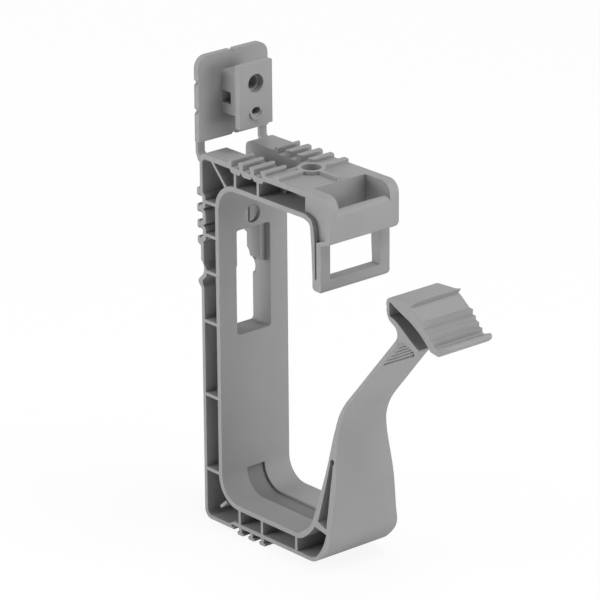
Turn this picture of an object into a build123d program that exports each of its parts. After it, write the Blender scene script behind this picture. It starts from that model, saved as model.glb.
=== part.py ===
from build123d import *
import os

os.makedirs("parts", exist_ok=True)

# Cable bundle holder, moulded in one piece. Millimetres, +Z up, front towards -Y.
# The sections are drawn with y = 0 on the rear face and z = 0 near the underside.
# The part's origin is the middle of the wall screw hole.

# Overall sizes
width = 35.0
top = 152.5
depth = 76.9

# Walls and ribs
rear_wall = 1.6
top_wall = 2.2
inner_wall = 2.0
floor_wall = 1.65
block_depth = 9.0
rib = 1.3
web = 1.6

# Channel for the cables
channel_floor = 10.1
channel_radius = 10.0
track_depth = 1.2
roof_drop = 11.1

# Screw holes
wall_screw_height = 126.2
wall_screw_d = 7.5
ceiling_screw_back = 46.2
ceiling_screw_d = 8.0
ring_d = 11.3

# Hanging slot and window in the rear block
slot_half = 5.9
slot_wall = 1.5
window_half = 8.75
window_floor = 77.2
window_top = 120.8
slot_run = 38.5
slot_start = 104.8

# Lips and hooks for clip-on parts
lip_pitch = 6.7
lip_height = 1.6
groove_depth = 1.3

# Latch frame at the front
pocket_side = 4.5
pocket_wall = 14.4
latch_side = 4.8
side_recess = 2.2
slit_depth = 3.3
panel_skin = 2.6
panel_top = 5.5
panel_bottom = 18.0
panel_round = 2.2
corner_round = 2.0
latch_bottom = 39.6
latch_bar = 5.3

# Folding arm and its head
arm_half = 12.1
head_half = 12.0
taper_start = 13.0
taper_end = 57.5

# Spacer plate held by two strips
plate_width = 35.2
plate_gap = 3.8
plate_height = 34.5
plate_thickness = 2.5
plate_radius = 5.0
neck_half = 5.9
flange_width = 16.5
flange_stand = 11.0
flange_height = 25.5
plate_screw_rise = 23.7
flange_hole_d = 7.6
neck_hole_d = 5.5
strip_width = 3.5

half = width / 2
front = -depth
pocket_half = half - pocket_side
latch_half = half - latch_side
roof = top - roof_drop
channel_rear = -block_depth - inner_wall
shift_y = block_depth + inner_wall / 2
shift_z = -wall_screw_height
plate_bottom = top + plate_gap
rib_rows = [20.4, 52.2, 83.2, 104.0, 119.3, 132.95]


# Planes of the drawing, with local axes (y, z), (x, z) and (x, y)
def side_plane(x, y=0.0, z=0.0):
    return Plane(origin=(x, shift_y + y, shift_z + z), x_dir=(0, 1, 0), z_dir=(1, 0, 0))


def front_plane(y, z=0.0):
    return Plane(origin=(0, shift_y + y, shift_z + z), x_dir=(1, 0, 0), z_dir=(0, -1, 0))


def level_plane(z, y=0.0):
    return Plane(origin=(0, shift_y + y, shift_z + z), x_dir=(1, 0, 0), z_dir=(0, 0, 1))


# Frame around the channel, seen from the side
with BuildSketch(side_plane(0)) as frame_section:
    with BuildLine():
        Polyline(
            (0, -0.9),
            (0, top),
            (front + 15, top),
            (front + 15, roof),
            (channel_rear, roof),
            (channel_rear, channel_floor),
            (front + 20, channel_floor),
            (front + 20, 0.8),
            (-16.3, 0.8),
            (-16.3, 0.1),
            (-17.9, -0.1),
            (-17.9, -0.9),
            close=True,
        )
    make_face()
    fillet(frame_section.vertices().sort_by_distance((0, top))[0], 3)
    fillet(frame_section.vertices().sort_by_distance((0, -0.9))[0], 3.8)
    fillet(frame_section.vertices().sort_by_distance((channel_rear, roof))[0], channel_radius)
    fillet(frame_section.vertices().sort_by_distance((channel_rear, channel_floor))[0], channel_radius)

# Hollow between the outer and inner walls, crossed by the ribs
with BuildSketch(side_plane(0)) as hollow_section:
    with BuildLine():
        Polyline(
            (-rear_wall, 0.7),
            (-rear_wall, top - top_wall),
            (front + 16.6, top - top_wall),
            (front + 16.6, roof + inner_wall),
            (-block_depth, roof + inner_wall),
            (-block_depth, channel_floor - inner_wall),
            (front + 20, channel_floor - inner_wall),
            (front + 20, 0.8 + floor_wall),
            (-18.2, 0.8 + floor_wall),
            (-14.7, 0.7),
            close=True,
        )
    make_face()
    fillet(hollow_section.vertices().sort_by_distance((-rear_wall, top - top_wall))[0], 1.8)
    fillet(hollow_section.vertices().sort_by_distance((-rear_wall, 0.7))[0], 2.5)
    fillet(
        hollow_section.vertices().sort_by_distance((-block_depth, roof + inner_wall))[0],
        channel_radius + inner_wall,
    )
    fillet(
        hollow_section.vertices().sort_by_distance((-block_depth, channel_floor - inner_wall))[0],
        channel_radius + inner_wall,
    )
    with BuildLine():
        toe_floor = Line((front + 20, 0.8 + floor_wall), (front + 13, 0.8 + floor_wall))
        toe_bend = Spline(
            toe_floor @ 1,
            (front + 7.3, 5.6),
            (front + 3.2, 14.6),
            tangents=((-1, 0), (-0.2, 1)),
        )
        toe_end = Line(toe_bend @ 1, (front + 10.4, 15.9))
        toe_rear = Spline(
            toe_end @ 1,
            (front + 12.7, 12.6),
            (front + 15.5, 10.2),
            (front + 20, channel_floor - inner_wall),
            tangents=((0.5, -1), (1, -0.1)),
        )
        Line(toe_rear @ 1, toe_floor @ 0)
    make_face()
    with Locations(*[(-block_depth / 2, z) for z in rib_rows]):
        Rectangle(block_depth + 2, rib, mode=Mode.SUBTRACT)
    with Locations((-21.35, top - 6), (-35.0, top - 6)):
        Rectangle(rib, 12, mode=Mode.SUBTRACT)
    with Locations((-21.45, 5), (-35.15, 5), (-55.9, 5)):
        Rectangle(rib, 12, mode=Mode.SUBTRACT)
    with Locations(*[(-21.6 - row * lip_pitch, top - 0.7) for row in range(3)]):
        RectangleRounded(lip_pitch - 0.2, 6, 1.7, mode=Mode.SUBTRACT)
    with Locations(*[(-0.1, 132.95 - row * lip_pitch) for row in range(3)]):
        RectangleRounded(6, lip_pitch - 0.2, 1.7, mode=Mode.SUBTRACT)
    Polygon(
        (0, 108),
        (-1.6, 107),
        (-3.3, 104.8),
        (-3.1, 102),
        (-1.4, 100.4),
        (0, 102),
        align=None,
        mode=Mode.SUBTRACT,
    )
    Polygon((-2, 100.7), (-1.4, 100.7), (-0.7, 99.6), (-0.7, 98.4), (-1.4, 97.2), (-2, 97.2), align=None)
    with Locations((-11.6, top - 6.2)):
        Rectangle(1.2, 14, rotation=-43.5, mode=Mode.SUBTRACT)
    with Locations((-11.6, 7.9)):
        Rectangle(5, 1.2, rotation=-41, mode=Mode.SUBTRACT)

# Lips across the top, the rear and the underside, one row each
with BuildSketch(side_plane(0, z=top)) as top_grooves:
    with Locations((-28.1, 0)):
        Rectangle(18.8, 2 * groove_depth)

with BuildSketch(side_plane(slot_half, z=top)) as top_lips:
    Polygon((-17.2, -2), (-17.2, 0.6), (-18.2, lip_height), (-19.3, lip_height), (-19.3, -2), align=None)
    with Locations((-23.2, 0), (-23.2 - lip_pitch, 0), (-23.2 - 2 * lip_pitch, 0)):
        Polygon(
            (-0.8, -2),
            (-0.8, 0.4),
            (0, 0.8),
            (0, 1.1),
            (-0.5, lip_height),
            (-2.4, lip_height),
            (-2.9, 1.1),
            (-2.9, -2),
            align=None,
        )
    fillet(top_lips.vertices().group_by(Axis.Y)[-1], 0.6)

with BuildSketch(side_plane(0)) as rear_lips:
    with Locations((0, 129.6), (0, 129.6 - lip_pitch)):
        Polygon(
            (-1.4, 0.9),
            (0.5, 0.9),
            (0.7, 1.65),
            (1.5, 1.65),
            (1.9, 1.2),
            (1.9, -1.2),
            (1.5, -1.65),
            (0.7, -1.65),
            (0.5, -0.9),
            (-1.4, -0.9),
            align=None,
        )
    with Locations((0, 129.6 + lip_pitch)):
        Polygon(
            (-1, 1.7),
            (1.3, 1.7),
            (1.9, 1.1),
            (1.9, -1.2),
            (1.5, -1.65),
            (0.7, -1.65),
            (0.5, -0.9),
            (-1, -0.9),
            align=None,
        )
    with Locations((0, 129.6 - 2 * lip_pitch)):
        Polygon(
            (-1, 0.9),
            (0.5, 0.9),
            (0.7, 1.65),
            (1.5, 1.65),
            (1.9, 1.2),
            (1.9, -0.9),
            (1.3, -1.5),
            (0, -2.0),
            (-1, -2),
            align=None,
        )

with BuildSketch(side_plane(slot_half + slot_wall)) as rear_grooves:
    with Locations(*[(0, 132.95 - row * lip_pitch) for row in range(3)]):
        Rectangle(2.6, 3.3)

with BuildSketch(side_plane(0)) as hooks:
    with Locations(*[(-21.85 - row * lip_pitch, 0) for row in range(3)]):
        Polygon(
            (0.8, 1.5),
            (0.8, -1.1),
            (1.85, -1.1),
            (1.85, -1.9),
            (1.4, -2.3),
            (-1.4, -2.3),
            (-1.85, -1.9),
            (-1.85, -1.1),
            (-0.8, -1.1),
            (-0.8, 1.5),
            align=None,
        )

# Stop bar in front of the top lips
with BuildSketch(side_plane(0, z=top)) as stop_bar:
    with BuildLine():
        bar_rear = ThreePointArc((-44.0, 0), (-44.6, 1.2), (-45.6, lip_height))
        Polyline(bar_rear @ 1, (-47.5, lip_height), (-47.9, 1.2), (-47.9, -1), (-44.0, -1), (-44.0, 0))
    make_face()

# Wave low on the rear wall: a bump with a dip above it
with BuildSketch(side_plane(0)) as wave_bump:
    with BuildLine():
        bump_curve = Spline((0, 96.4), (1.9, 98.9), (0, 101.5), tangents=((0.6, 0.8), (-0.7, 0.7)))
        Polyline(bump_curve @ 1, (-0.5, 101.5), (-0.5, 96.4), (0, 96.4))
    make_face()

with BuildSketch(side_plane(0)) as wave_dip:
    with BuildLine():
        dip_curve = Spline((0, 101.5), (-1.2, 102.8), (-1.7, 104.6), (0, 108.2))
        Polyline(dip_curve @ 1, (1, 108.2), (1, 101.5), (0, 101.5))
    make_face()

# Latch block at the front, its tip rounded
with BuildSketch(side_plane(0, y=front, z=top)) as latch_section:
    with BuildLine():
        Polyline(
            (15.1, 0),
            (0, 0),
            (0, -panel_bottom),
            (5.3, -panel_bottom - 2),
            (5.4, -latch_bottom),
            (10.2, -latch_bottom),
            (10.2, -33),
            (10.7, -21.2),
            (11.4, -13.3),
            (12.4, -12.0),
            (15.1, -roof_drop),
            close=True,
        )
    make_face()
    fillet(latch_section.vertices().sort_by_distance((0, 0))[0], 5)
    fillet(latch_section.vertices().sort_by_distance((5.4, -latch_bottom))[0], 2.3)
    fillet(latch_section.vertices().sort_by_distance((10.2, -latch_bottom))[0], 2.3)
    fillet(latch_section.vertices().sort_by_distance((0, -panel_bottom))[0], 0.5)

with BuildSketch(side_plane(0, y=front, z=top)) as latch_slit:
    with BuildLine():
        Polyline((7.8, -34), (8.7, -34), (8.9, -18.5), (7.8, -18.9), close=True)
    make_face()
    fillet(latch_slit.vertices().group_by(Axis.Y)[0], 0.4)

with BuildSketch(side_plane(0, y=front, z=top)) as recess_section:
    with BuildLine():
        Polyline(
            (17, -top_wall),
            (panel_skin, -top_wall),
            (panel_skin, -panel_bottom + 0.9),
            (7.8, -panel_bottom - 1.0),
            (8.9, -panel_bottom - 1.2),
            (9.4, -13.9),
            (10.6, -10.6),
            (14.2, -roof_drop + inner_wall),
            (17, -roof_drop + inner_wall),
            close=True,
        )
    make_face()
    fillet(recess_section.vertices().sort_by_distance((panel_skin, -top_wall))[0], 3)
    fillet(recess_section.vertices().sort_by_distance((10.6, -10.6))[0], 1.5)

# Arm: foot, upright and leaning leaf, seen from the side
with BuildSketch(side_plane(0, y=front)) as arm_section:
    with BuildLine():
        sole = Line((20.5, 0.8), (13, 0.8))
        toe = Spline(sole @ 1, (6.9, 3.3), (1.7, 9.5), (1.0, 18), tangents=((-1, 0), (0, 1)))
        shin = Spline(
            toe @ 1,
            (0.4, 36),
            (1.7, 53),
            (-1.2, 64.9),
            (-6, 71.3),
            tangents=((-0.05, 1), (-0.64, 0.77)),
        )
        leaf_front = Line(shin @ 1, (-32.6, 103.0))
        leaf_end = Line(leaf_front @ 1, (-31.4, 103.8))
        leaf_rear = Line(leaf_end @ 1, (-7.6, 75.8))
        calf = Spline(
            leaf_rear @ 1,
            (-0.7, 67.2),
            (3.1, 58.8),
            (5.5, 45.6),
            (8.4, 31.1),
            (11.2, 20.0),
            (13.3, 15.0),
            (18.8, 10.75),
            (20.5, channel_floor),
            tangents=((0.65, -0.76), (1, -0.15)),
        )
        Line(calf @ 1, sole @ 0)
    make_face()

# Long narrow cell inside the arm
with BuildSketch(side_plane(0, y=front)) as arm_cell:
    with BuildLine():
        cell_rear = Spline((8.7, 18.3), (7.3, 26), (4.6, 43.3), tangents=((-0.15, 1), (-0.17, 1)))
        cell_tip = ThreePointArc(cell_rear @ 1, (3.7, 45.0), (3.0, 42.9))
        cell_front = Spline(cell_tip @ 1, (3.3, 31.9), (3.5, 16.6), tangents=((0, -1), (0.02, -1)))
        Line(cell_front @ 1, cell_rear @ 0)
    make_face()
    fillet(arm_cell.vertices().group_by(Axis.Y)[0], 0.3)
    fillet(arm_cell.vertices().sort_by_distance((8.7, 18.3))[0], 0.3)

# Taper of the arm, seen from the front
with BuildSketch(front_plane(front + 19.9)) as arm_taper:
    with BuildLine():
        Polyline(
            (half, taper_start),
            (arm_half, taper_end),
            (arm_half, 108),
            (half + 3, 108),
            (half + 3, taper_start),
            close=True,
        )
    make_face()

# Head of the arm with its toothed front
with BuildSketch(side_plane(0, y=front)) as head_section:
    with BuildLine():
        rear_bend = ThreePointArc((-26.0, 116.0), (-26.3, 118.8), (-28.2, 120.0))
        crown = Polyline(rear_bend @ 1, (-37.7, 120.55), (-40.2, 120.9), (-39.3, 119.0), (-45.2, 114.6))
        teeth = Polyline(
            crown @ 1,
            (-47.0, 114.6),
            (-46.9, 112.4),
            (-48.6, 112.3),
            (-48.7, 110.7),
            (-50.4, 110.3),
            (-50.5, 108.6),
            (-52.2, 108.5),
            (-52.3, 106.9),
            (-53.2, 106.4),
            (-56.2, 107.5),
        )
        lip_nose = ThreePointArc(teeth @ 1, (-57.8, 106.9), (-57.3, 105.6))
        jaw = Polyline(lip_nose @ 1, (-55.7, 104.15), (-54.6, 103.8), (-50.5, 104.5))
        cavity_top = Spline(jaw @ 1, (-47.5, 107.5), (-40.5, 112.5), (-32.5, 116.0), (-28.4, 118.0))
        cavity_end = Line(cavity_top @ 1, (-27.5, 118.0))
        cavity_rear = Line(cavity_end @ 1, (-27.5, 112.5))
        cavity_low = Spline(cavity_rear @ 1, (-32.5, 110.5), (-40.3, 105.1), (-44.0, 103.2))
        leaf_lip = Polyline(cavity_low @ 1, (-43.3, 101.9), (-40, 102.3), (-35.5, 104.2))
        neck = Polyline(leaf_lip @ 1, (-32.6, 102.6), (-31.0, 103.4))
        throat = ThreePointArc(neck @ 1, (-32.0, 106.0), (-30.6, 108.9))
        nape = Line(throat @ 1, (-27.4, 110.8))
        ThreePointArc(nape @ 1, (-26.2, 113.0), rear_bend @ 0)
    make_face()

# Web that closes the head's cavity half-way
with BuildSketch(side_plane(0, y=front)) as head_web:
    with BuildLine():
        Polyline(
            (-27, 118.5),
            (-27, 112),
            (-33, 109.5),
            (-43.5, 103),
            (-50.6, 105.5),
            (-40.5, 113),
            (-33, 116.5),
            close=True,
        )
    make_face()

# Head, trimmed in plan and along its slope
slope_plane = Plane(
    origin=(0, shift_y + front - 45.2, shift_z + 114.6),
    x_dir=(1, 0, 0),
    z_dir=(0, -0.783, -0.622),
)
with BuildPart() as head:
    extrude(head_section.sketch, amount=head_half + 2, both=True)
    with BuildSketch(level_plane(95, y=front)) as head_plan:
        with BuildLine():
            Polyline(
                (-head_half, -25.5),
                (head_half, -25.5),
                (head_half, -38.5),
                (head_half + 0.7, -40),
                (head_half + 0.7, -58.5),
                (-head_half, -58.5),
                close=True,
            )
        make_face()
        fillet(head_plan.vertices().sort_by_distance((head_half, -25.5))[0], 3.5)
        fillet(head_plan.vertices().sort_by_distance((head_half + 0.7, -58.5))[0], 1.5)
    extrude(amount=30, mode=Mode.INTERSECT)
    with BuildSketch(slope_plane) as slope_outline:
        with Locations((-head_half, 1.9)):
            Rectangle(2 * head_half + 2, 50, align=(Align.MIN, Align.MAX))
        fillet(slope_outline.vertices().sort_by_distance((-head_half, 1.9))[0], 3.2)
    extrude(amount=30, both=True, mode=Mode.INTERSECT)

# Outer face of the leaning leaf, local y running up the leaf
leaf_plane = Plane(
    origin=(0, shift_y + front - 7.1, shift_z + 72.4),
    x_dir=(1, 0, 0),
    z_dir=(0, -0.766, -0.643),
)

# Holder: the half towards +X is shaped first, then mirrored
with BuildPart() as holder:
    extrude(frame_section.sketch, amount=half)
    extrude(wave_bump.sketch, amount=half)
    extrude(wave_dip.sketch, amount=half, mode=Mode.SUBTRACT)
    extrude(latch_section.sketch, amount=half)
    extrude(arm_section.sketch, amount=half)
    extrude(arm_taper.sketch, amount=60, mode=Mode.SUBTRACT)

    # Grooves and lips
    extrude(top_grooves.sketch, amount=half, mode=Mode.SUBTRACT)
    extrude(top_lips.sketch, amount=half - slot_half)
    with BuildSketch(level_plane(top)):
        with Locations(*[(slot_half + 1.4, -24.6 - row * lip_pitch) for row in range(3)]):
            Rectangle(1.5, 3.0, align=(Align.MAX, Align.CENTER))
            Circle(1.4, mode=Mode.SUBTRACT)
    extrude(amount=lip_height + 1, mode=Mode.SUBTRACT)
    extrude(rear_grooves.sketch, amount=half, mode=Mode.SUBTRACT)
    extrude(rear_lips.sketch, amount=half)
    extrude(hooks.sketch, amount=half)
    extrude(stop_bar.sketch, amount=half)

    # Rib from the screw ring to the pocket
    with BuildSketch(level_plane(top - 0.5)):
        with Locations((0, -ceiling_screw_back)):
            Rectangle(1, depth - pocket_wall - ceiling_screw_back, align=(Align.MIN, Align.MAX))
    extrude(amount=0.5 + lip_height)

    # Cells, open at the side and closed by a web or by the wall of the slot
    with BuildSketch(side_plane(web / 2)):
        add(hollow_section.sketch_local)
        with Locations((-slot_run - 1.5, window_floor - 1.5)):
            Rectangle(depth, top, align=(Align.MIN, Align.MIN), mode=Mode.SUBTRACT)
    extrude(amount=half, mode=Mode.SUBTRACT)
    with BuildSketch(side_plane(slot_half + slot_wall)):
        add(hollow_section.sketch_local)
        with Locations((-block_depth / 2, rib_rows[-1])):
            Rectangle(block_depth + 4, top, align=(Align.CENTER, Align.MAX), mode=Mode.SUBTRACT)
    extrude(amount=half, mode=Mode.SUBTRACT)
    with BuildSketch(side_plane(window_half + 3)):
        add(hollow_section.sketch_local)
    extrude(amount=half, mode=Mode.SUBTRACT)

    # Slot and window behind the wall screw
    with BuildSketch(front_plane(-rear_wall)) as slot_outline:
        with BuildLine():
            Polyline(
                (0, window_floor),
                (window_half, window_floor),
                (window_half, slot_start - 1),
                (slot_half, slot_start),
                (slot_half, top + 5),
                (0, top + 5),
                close=True,
            )
        make_face()
        fillet(slot_outline.vertices().sort_by_distance((window_half, window_floor))[0], 1.5)
    extrude(amount=block_depth - rear_wall, mode=Mode.SUBTRACT)
    with BuildSketch(front_plane(3)) as skin_outline:
        with BuildLine():
            Polyline(
                (0, window_floor),
                (window_half, window_floor),
                (window_half, slot_start - 8),
                (window_half + 1, slot_start - 7.8),
                (window_half + 1.45, slot_start - 5.5),
                (window_half + 0.75, slot_start - 3.2),
                (slot_half + 0.3, slot_start),
                (slot_half, slot_start + 0.4),
                (slot_half, wall_screw_height - 9),
                (slot_half - 0.6, wall_screw_height - 8.2),
                (slot_half - 0.6, wall_screw_height + 4),
                (slot_half, wall_screw_height + 4.8),
                (slot_half, top + 5),
                (0, top + 5),
                close=True,
            )
        make_face()
        fillet(skin_outline.vertices().sort_by_distance((window_half, window_floor))[0], 1.5)
    extrude(amount=3 + rear_wall, mode=Mode.SUBTRACT)
    with BuildSketch(front_plane(3)):
        with Locations((0, 98.9)):
            Rectangle(11.9, 6, align=(Align.MIN, Align.CENTER))
    extrude(amount=3, mode=Mode.SUBTRACT)
    with BuildSketch(front_plane(-block_depth + 1)) as window_outline:
        with Locations((0, window_floor)):
            Rectangle(window_half, window_top - window_floor, align=(Align.MIN, Align.MIN))
        fillet(window_outline.vertices().group_by(Axis.X)[-1], 1.5)
    extrude(amount=inner_wall + 2, mode=Mode.SUBTRACT)
    with BuildSketch(level_plane(roof + inner_wall)):
        with Locations((0, -block_depth + 1)):
            Rectangle(slot_half, slot_run - block_depth + 1, align=(Align.MIN, Align.MAX))
    extrude(amount=roof_drop + 3, mode=Mode.SUBTRACT)

    # Shallow track along the channel floor
    with BuildSketch(side_plane(0)):
        with BuildLine():
            track_arc = RadiusArc(
                (channel_rear + track_depth, channel_floor + 10),
                (channel_rear - 10, channel_floor - track_depth),
                10 + track_depth,
            )
            Polyline(
                track_arc @ 1,
                (front + 20, channel_floor - track_depth),
                (front + 20, channel_floor + 1),
                (channel_rear - 10, channel_floor + 1),
                (channel_rear - 1, channel_floor + 10),
                track_arc @ 0,
            )
        make_face()
    extrude(amount=4.6, mode=Mode.SUBTRACT)

    # Pocket open to the top, latch window below it, slit and side recess
    with BuildSketch(side_plane(0, y=front, z=top)):
        with BuildLine():
            Polyline(
                (pocket_wall, 2),
                (-2, 2),
                (-2, -panel_top),
                (panel_skin, -panel_top),
                (panel_skin, -roof_drop),
                (pocket_wall, -roof_drop),
                close=True,
            )
        make_face()
    extrude(amount=pocket_half, mode=Mode.SUBTRACT)
    with BuildSketch(side_plane(0, y=front, z=top)):
        with BuildLine():
            Polyline(
                (pocket_wall, -roof_drop + 1),
                (panel_skin, -roof_drop + 1),
                (panel_skin, -panel_bottom),
                (-2, -panel_bottom),
                (-2, -latch_bottom + latch_bar),
                (pocket_wall, -latch_bottom + latch_bar),
                close=True,
            )
        make_face()
    extrude(amount=latch_half, mode=Mode.SUBTRACT)
    with BuildSketch(side_plane(0, y=front, z=top)):
        with Locations((0, -panel_top)):
            Rectangle(2 * panel_round, 2 * panel_round)
        with Locations((panel_round, -panel_top - panel_round)):
            Circle(panel_round, mode=Mode.SUBTRACT)
            Rectangle(panel_round, 2 * panel_round, align=(Align.MIN, Align.CENTER), mode=Mode.SUBTRACT)
    extrude(amount=pocket_half, mode=Mode.SUBTRACT)
    with BuildSketch(front_plane(front + 12, z=top)):
        with Locations((half, -latch_bottom)):
            Rectangle(2 * corner_round, 2 * corner_round)
        with Locations((half - corner_round, -latch_bottom + corner_round)):
            Circle(corner_round, mode=Mode.SUBTRACT)
    extrude(amount=10, mode=Mode.SUBTRACT)
    with BuildSketch(side_plane(half - slit_depth, y=front, z=top)):
        add(latch_slit.sketch_local)
    extrude(amount=slit_depth + 1, mode=Mode.SUBTRACT)
    with BuildSketch(side_plane(half - side_recess, y=front, z=top)):
        add(recess_section.sketch_local)
    extrude(amount=side_recess + 1, mode=Mode.SUBTRACT)

    # Cell in the arm, closed by a web
    with BuildSketch(side_plane(web / 2, y=front)):
        add(arm_cell.sketch_local)
    extrude(amount=half, mode=Mode.SUBTRACT)

    # Spacer plate, its neck and flange
    with BuildSketch(front_plane(plate_thickness, z=plate_bottom)) as plate_outline:
        Rectangle(plate_width, plate_height, align=(Align.CENTER, Align.MIN))
        fillet(plate_outline.vertices().group_by(Axis.Y)[-1], plate_radius)
        with Locations((plate_width / 2, 12.4), (plate_width / 2, 24.0), (0, 0), (0, plate_height)):
            Rectangle(1.6, 1.6, rotation=45, mode=Mode.SUBTRACT)
        with Locations((0, 0)):
            Rectangle(plate_width, 2 * plate_height, align=(Align.MAX, Align.CENTER), mode=Mode.SUBTRACT)
    extrude(amount=plate_thickness)
    with BuildSketch(front_plane(0, z=plate_bottom)) as neck_outline:
        with Locations((0, 18.8)):
            Rectangle(neck_half, 17.2, align=(Align.MIN, Align.CENTER))
        fillet(neck_outline.vertices().sort_by_distance((neck_half, 27.4))[0], 2)
    extrude(amount=flange_stand + 0.1)
    with BuildSketch(front_plane(-flange_stand, z=plate_bottom)):
        with Locations((0, 6.4)):
            Rectangle(flange_width / 2, flange_height, align=(Align.MIN, Align.MIN))
    extrude(amount=2.7)
    with BuildSketch(side_plane(-1, z=plate_bottom)):
        with Locations((-2.9, 16.8)):
            Rectangle(5.2, 4.8)
    extrude(amount=half, mode=Mode.SUBTRACT)

    # Strips from the plate to the rear corner of the frame
    with BuildSketch(side_plane(half - strip_width)):
        with BuildLine():
            Polyline(
                (0.9, plate_bottom + 0.5),
                (2.3, plate_bottom + 0.5),
                (2.3, top - 0.6),
                (1.0, top - 3.4),
                (-0.4, top - 4.2),
                (-0.4, top - 1.6),
                (0.9, top - 0.2),
                close=True,
            )
        make_face()
    extrude(amount=strip_width)

    mirror(about=Plane.YZ)

    # Lower corner of the panel on the +X side
    with BuildSketch(front_plane(front + 5.3, z=top)):
        with Locations((half, -panel_bottom)):
            Rectangle(2 * corner_round, 2 * corner_round)
        with Locations((half - corner_round, -panel_bottom + corner_round)):
            Circle(corner_round, mode=Mode.SUBTRACT)
    extrude(amount=10, mode=Mode.SUBTRACT)

    # Head with the web in its cavity
    add(head.part)
    extrude(head_web.sketch, amount=web / 2, both=True)

    # Round holes and the ring around the ceiling screw
    with BuildSketch(level_plane(roof)):
        with Locations((0, -ceiling_screw_back)):
            Circle(ring_d / 2)
    extrude(amount=roof_drop + lip_height)
    with BuildSketch(level_plane(roof - 1)):
        with Locations((0, -ceiling_screw_back)):
            Circle(ceiling_screw_d / 2)
    extrude(amount=roof_drop + 5, mode=Mode.SUBTRACT)
    with BuildSketch(front_plane(-block_depth + 1)):
        with Locations((0, wall_screw_height)):
            Circle(wall_screw_d / 2)
    extrude(amount=inner_wall + 2, mode=Mode.SUBTRACT)
    with BuildSketch(front_plane(-flange_stand, z=plate_bottom)):
        with Locations((0, plate_screw_rise)):
            Circle(flange_hole_d / 2)
    extrude(amount=5, mode=Mode.SUBTRACT)
    with BuildSketch(front_plane(4, z=plate_bottom)):
        with Locations((0, plate_screw_rise)):
            Circle(neck_hole_d / 2)
    extrude(amount=15, mode=Mode.SUBTRACT)
    with BuildSketch(front_plane(1.2 - flange_stand, z=plate_bottom)):
        with Locations((0, 12.6)):
            SlotOverall(4.2, 3.0)
    extrude(amount=6, mode=Mode.SUBTRACT)
    with BuildSketch(front_plane(-flange_stand - 2.6, z=plate_bottom)):
        with Locations((0, 12.6)):
            Circle(3.5)
            Circle(2.5, mode=Mode.SUBTRACT)
        with Locations((0, 12.2)):
            Rectangle(10, 10, align=(Align.CENTER, Align.MIN), mode=Mode.SUBTRACT)
    extrude(amount=0.8)

    # Shallow grip on the outer face of the leaf, with grooves across it
    with BuildSketch(leaf_plane) as grip:
        with BuildLine():
            grip_foot = Polyline((-10.4, 25), (-10.4, 23.3), (6, 22.8))
            grip_side = Spline(
                grip_foot @ 1,
                (1.6, 29),
                (-1.4, 34.6),
                (-5.6, 37.8),
                tangents=((-0.5, 0.85), (-1, 0.1)),
            )
            Polyline(grip_side @ 1, (-8.2, 37.2), (-8.6, 34.5), (-9.2, 31.5), (-10.4, 25))
        make_face()
    extrude(amount=-0.4, mode=Mode.SUBTRACT)
    with BuildSketch(leaf_plane):
        add(grip.sketch_local)
        with Locations(*[(0, 25.0 + 2.7 * row) for row in range(5)]):
            Rectangle(30, 1.3, mode=Mode.SUBTRACT)
    extrude(amount=-0.8, mode=Mode.SUBTRACT)

holder.part.label = "cable_holder"
export_step(holder.part, "parts/cable_holder.step")
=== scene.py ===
from math import radians

import bpy
from mathutils import Euler, Matrix, Vector


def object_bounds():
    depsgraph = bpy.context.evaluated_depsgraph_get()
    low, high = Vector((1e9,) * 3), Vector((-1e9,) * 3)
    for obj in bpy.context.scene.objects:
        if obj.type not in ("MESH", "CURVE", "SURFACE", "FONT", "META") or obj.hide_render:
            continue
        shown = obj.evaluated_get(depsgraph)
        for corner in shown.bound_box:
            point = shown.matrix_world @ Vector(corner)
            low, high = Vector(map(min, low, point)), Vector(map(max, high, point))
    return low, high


# Camera at the photograph's angle
AZIMUTH = 40.5
ELEVATION = 20.4
ROLL = -0.465
CAMERA_PLACE = (-1.0402, -1.2468, 0.5672)
LENS = 264.0
SENSOR = 36.0

# Colours, linear
GREY = (0.295, 0.295, 0.295, 1.0)
GREY_DARK = (0.28, 0.28, 0.28, 1.0)
# Painted shade: a darker grey that stands in for the shade in the track's recess
TRACK_PAINTED_SHADE = (0.19, 0.19, 0.19, 1.0)
WHITE = (1.0, 1.0, 1.0, 1.0)
FLOOR = (0.9, 0.9, 0.9, 1.0)

# Share of the floor that the camera sees as white, and the world's light on the object
FLOOR_GLOW = 0.9
AMBIENT = 0.22

# Plastic: mottling and grain per metre
MOTTLE_SCALE = 45.0
GRAIN_SCALE = 2600.0

# Track along the channel floor, which gets painted shade, metres: centre of its bend, its depth from
# there, the tolerance on that, half its width and its front end
BEND_Y = -0.011
BEND_Z = -0.1061
TRACK_DEPTH = 0.0112
TRACK_SLACK = 0.0005
TRACK_HALF = 0.00465
TRACK_FRONT = -0.055

# Floor: its side and its gap under the object, metres
FLOOR_SIZE = 30.0
FLOOR_GAP = 0.0002

# Soft round lamps: name, place and diameter in metres, power in watts.
# One stands on the open side, one in front, one overhead and a weak one behind.
LAMPS = [
    ("side", (-1.4, 0.8, 0.3), 1.5, 26.5),
    ("front", (0.7, -1.4, 0.1), 1.0, 14.0),
    ("overhead", (0.2, -0.6, 1.5), 1.2, 19.5),
    ("rear", (0.9, 1.5, 0.6), 1.5, 8.0),
]


def new_material(name):
    """New node material, with its node tree and its shader."""
    material = bpy.data.materials.new(name)
    material.use_nodes = True
    tree = material.node_tree
    return material, tree, tree.nodes["Principled BSDF"]


def calculate(tree, operation, *values):
    """Output of a new math node, with numbers and other nodes' outputs as its inputs."""
    node = tree.nodes.new("ShaderNodeMath")
    node.operation = operation
    for socket, value in zip(node.inputs, values):
        if isinstance(value, float):
            socket.default_value = value
        else:
            tree.links.new(value, socket)
    return node.outputs["Value"]


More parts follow.
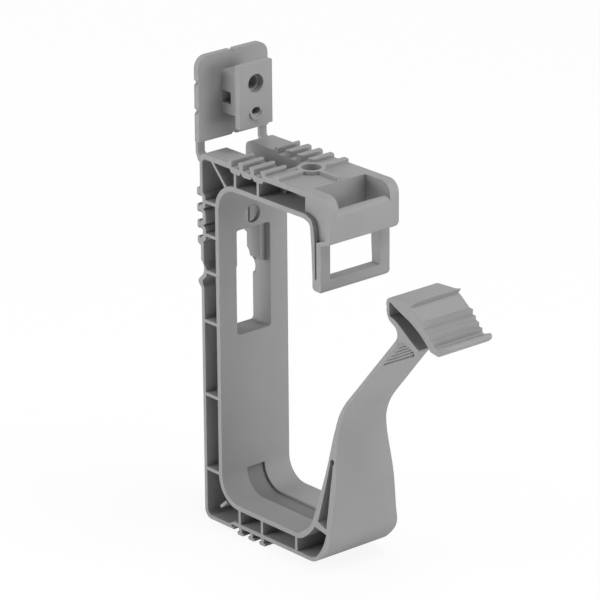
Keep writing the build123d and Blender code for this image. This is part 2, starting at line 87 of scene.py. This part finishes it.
def track_shade_area(tree, place):
    """1 on the floor of the track and round its bend, where painted shade goes, 0 elsewhere."""
    axes = tree.nodes.new("ShaderNodeSeparateXYZ")
    tree.links.new(place, axes.inputs["Vector"])
    back = calculate(tree, "MAXIMUM", calculate(tree, "SUBTRACT", axes.outputs["Y"], BEND_Y), 0.0)
    down = calculate(tree, "SUBTRACT", BEND_Z, axes.outputs["Z"])
    squares = [calculate(tree, "POWER", length, 2.0) for length in (back, down)]
    away = calculate(tree, "SQRT", calculate(tree, "ADD", *squares))
    mask = calculate(tree, "COMPARE", away, TRACK_DEPTH, TRACK_SLACK)
    for test in (
        calculate(tree, "COMPARE", axes.outputs["X"], 0.0, TRACK_HALF),
        calculate(tree, "GREATER_THAN", down, 0.0),
        calculate(tree, "GREATER_THAN", axes.outputs["Y"], TRACK_FRONT),
    ):
        mask = calculate(tree, "MULTIPLY", mask, test)
    return mask


def moulded_plastic():
    """Matt moulded plastic: faint mottling of the colour, a fine spark-eroded grain and sheen
    that varies a little. The recessed track in the channel has painted shade: a darker grey."""
    material, tree, shader = new_material("grey_plastic")
    nodes, links = tree.nodes, tree.links
    shader.inputs["IOR"].default_value = 1.47
    shader.inputs["Specular IOR Level"].default_value = 0.2

    # Colour: mottling, and painted shade in the track's recess
    place = nodes.new("ShaderNodeTexCoord")
    cloud = nodes.new("ShaderNodeTexNoise")
    cloud.inputs["Scale"].default_value = MOTTLE_SCALE
    cloud.inputs["Detail"].default_value = 3.0
    links.new(place.outputs["Object"], cloud.inputs["Vector"])
    tint = nodes.new("ShaderNodeValToRGB")
    tint.color_ramp.elements[0].position = 0.3
    tint.color_ramp.elements[0].color = GREY_DARK
    tint.color_ramp.elements[1].position = 0.7
    tint.color_ramp.elements[1].color = GREY
    links.new(cloud.outputs["Fac"], tint.inputs["Fac"])
    # Painted shade: the track's floor is mixed to a darker grey, as if shaded in its recess
    track_shade_mix = nodes.new("ShaderNodeMix")
    track_shade_mix.data_type = "RGBA"
    factor, colour_a, colour_b = track_shade_mix.inputs[0], track_shade_mix.inputs[6], track_shade_mix.inputs[7]
    links.new(track_shade_area(tree, place.outputs["Object"]), factor)
    links.new(tint.outputs["Color"], colour_a)
    colour_b.default_value = TRACK_PAINTED_SHADE
    links.new(track_shade_mix.outputs[2], shader.inputs["Base Color"])

    # Sheen
    sheen = nodes.new("ShaderNodeMapRange")
    sheen.inputs["To Min"].default_value = 0.62
    sheen.inputs["To Max"].default_value = 0.72
    links.new(cloud.outputs["Fac"], sheen.inputs["Value"])
    links.new(sheen.outputs["Result"], shader.inputs["Roughness"])

    # Grain
    grain = nodes.new("ShaderNodeTexNoise")
    grain.inputs["Scale"].default_value = GRAIN_SCALE
    grain.inputs["Detail"].default_value = 2.0
    links.new(place.outputs["Object"], grain.inputs["Vector"])
    bump = nodes.new("ShaderNodeBump")
    bump.inputs["Strength"].default_value = 0.05
    bump.inputs["Distance"].default_value = 0.00005
    links.new(grain.outputs["Fac"], bump.inputs["Height"])
    links.new(bump.outputs["Normal"], shader.inputs["Normal"])
    return material


def pale_floor():
    """Pale floor. The camera sees it nearly white, with the object's soft shadow on it."""
    material, tree, shader = new_material("floor")
    nodes, links = tree.nodes, tree.links
    shader.inputs["Base Color"].default_value = FLOOR
    shader.inputs["Roughness"].default_value = 0.9
    shader.inputs["Specular IOR Level"].default_value = 0.1
    glow = nodes.new("ShaderNodeEmission")
    glow.inputs["Strength"].default_value = 1.0
    path = nodes.new("ShaderNodeLightPath")
    mix = nodes.new("ShaderNodeMixShader")
    links.new(calculate(tree, "MULTIPLY", path.outputs["Is Camera Ray"], FLOOR_GLOW), mix.inputs["Fac"])
    links.new(shader.outputs["BSDF"], mix.inputs[1])
    links.new(glow.outputs["Emission"], mix.inputs[2])
    links.new(mix.outputs["Shader"], nodes["Material Output"].inputs["Surface"])
    return material


def pale_world():
    """Even pale light from all around, seen by the camera as white."""
    world = bpy.data.worlds.new("studio")
    world.use_nodes = True
    nodes, links = world.node_tree.nodes, world.node_tree.links
    sky = nodes["Background"]
    sky.inputs["Color"].default_value = WHITE
    sky.inputs["Strength"].default_value = AMBIENT
    white = nodes.new("ShaderNodeBackground")
    white.inputs["Color"].default_value = WHITE
    white.inputs["Strength"].default_value = 1.0
    path = nodes.new("ShaderNodeLightPath")
    mix = nodes.new("ShaderNodeMixShader")
    links.new(path.outputs["Is Camera Ray"], mix.inputs["Fac"])
    links.new(sky.outputs["Background"], mix.inputs[1])
    links.new(white.outputs["Background"], mix.inputs[2])
    links.new(mix.outputs["Shader"], nodes["World Output"].inputs["Surface"])
    return world


def area_light(name, place, size, power, aim):
    """Round lamp that faces the point aimed at."""
    light = bpy.data.lights.new(name, "AREA")
    light.shape = "DISK"
    light.size = size
    light.energy = power
    lamp = bpy.data.objects.new(name, light)
    bpy.context.scene.collection.objects.link(lamp)
    lamp.location = place
    lamp.rotation_euler = (aim - Vector(place)).to_track_quat("-Z", "Y").to_euler()


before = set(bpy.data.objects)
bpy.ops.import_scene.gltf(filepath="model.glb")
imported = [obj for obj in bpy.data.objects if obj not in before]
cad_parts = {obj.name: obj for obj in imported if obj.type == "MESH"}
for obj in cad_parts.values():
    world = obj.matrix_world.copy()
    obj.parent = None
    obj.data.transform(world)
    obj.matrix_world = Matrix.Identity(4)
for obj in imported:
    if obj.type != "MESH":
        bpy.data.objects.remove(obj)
cad_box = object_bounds()
low, high = Vector(cad_box[0]), Vector(cad_box[1])
middle = (low + high) / 2

plastic = moulded_plastic()
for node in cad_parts.values():
    for slot in node.material_slots:
        slot.material = plastic

# Floor
bpy.ops.mesh.primitive_plane_add(size=FLOOR_SIZE, location=(middle.x, middle.y, low.z - FLOOR_GAP))
floor = bpy.context.object
floor.name = "floor"
floor.data.materials.append(pale_floor())

# World and lamps
bpy.context.scene.world = pale_world()
for name, place, size, power in LAMPS:
    area_light(name, place, size, power, middle)

# Camera
view = bpy.data.cameras.new("camera")
view.lens = LENS
view.sensor_width = SENSOR
view.clip_end = 50.0
camera = bpy.data.objects.new("camera", view)
bpy.context.scene.collection.objects.link(camera)
camera.location = CAMERA_PLACE
aim = Euler((radians(90 - ELEVATION), 0, radians(-AZIMUTH))).to_matrix()
camera.rotation_euler = (aim @ Matrix.Rotation(radians(ROLL), 3, "Z")).to_euler()
bpy.context.scene.camera = camera
bpy.context.scene.view_settings.view_transform = "Standard"
